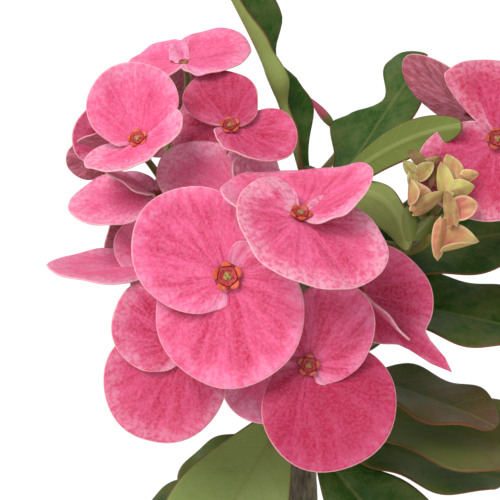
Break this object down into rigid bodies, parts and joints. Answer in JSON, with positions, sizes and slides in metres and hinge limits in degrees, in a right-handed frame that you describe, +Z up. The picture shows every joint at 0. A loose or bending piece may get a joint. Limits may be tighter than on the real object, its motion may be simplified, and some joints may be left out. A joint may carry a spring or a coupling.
{
  "type": "crown of thorns plant in a pot",
  "caption": "Crown of thorns plant in a plain clay pot: a thorny upright stem with leathery green leaves and domed heads of round pink bracts.",
  "frame": {"origin": "centre of the pot's foot, on the surface that the pot stands on", "axes": "+Z up along the stem, -Y towards the front, where the flower heads face, +X to the right of a viewer at the front"},
  "size_m": [0.1341, 0.124, 0.2956],
  "materials": {
    "clay": "matte",
    "soil": "matte",
    "bark": "matte",
    "stalk": "satin",
    "bract": "satin",
    "bud": "satin",
    "leaf": "satin"
  },
  "bodies": {
    "root": {"pot": "clay", "soil": "soil", "stem": "bark", "stalks_main": "stalk", "stalks_side": "stalk", "young_head": "bud", "lone_bud": "bud", "bloom_01": "bract", "bloom_02": "bract", "bloom_03": "bract", "bloom_04": "bract", "bloom_05": "bract", "bloom_06": "bract", "bloom_07": "bract", "bloom_08": "bract", "bloom_09": "bract", "bloom_10": "bract", "bloom_11": "bract", "bloom_12": "bract", "bloom_13": "bract", "bloom_14": "bract", "bloom_15": "bract", "bloom_16": "bract", "bloom_17": "bract", "bloom_18": "bract", "bloom_19": "bract", "bloom_20": "bract", "bloom_21": "bract", "leaf_01": "leaf", "leaf_02": "leaf", "leaf_03": "leaf", "leaf_04": "leaf", "leaf_05": "leaf", "leaf_06": "leaf", "leaf_07": "leaf", "leaf_08": "leaf", "leaf_09": "leaf", "leaf_10": "leaf", "leaf_11": "leaf", "leaf_12": "leaf", "leaf_13": "leaf", "leaf_14": "leaf", "leaf_15": "leaf", "leaf_16": "leaf", "leaf_17": "leaf", "leaf_18": "leaf", "leaf_19": "leaf", "leaf_20": "leaf", "leaf_21": "leaf", "leaf_22": "leaf"}
  },
  "joints": []
}
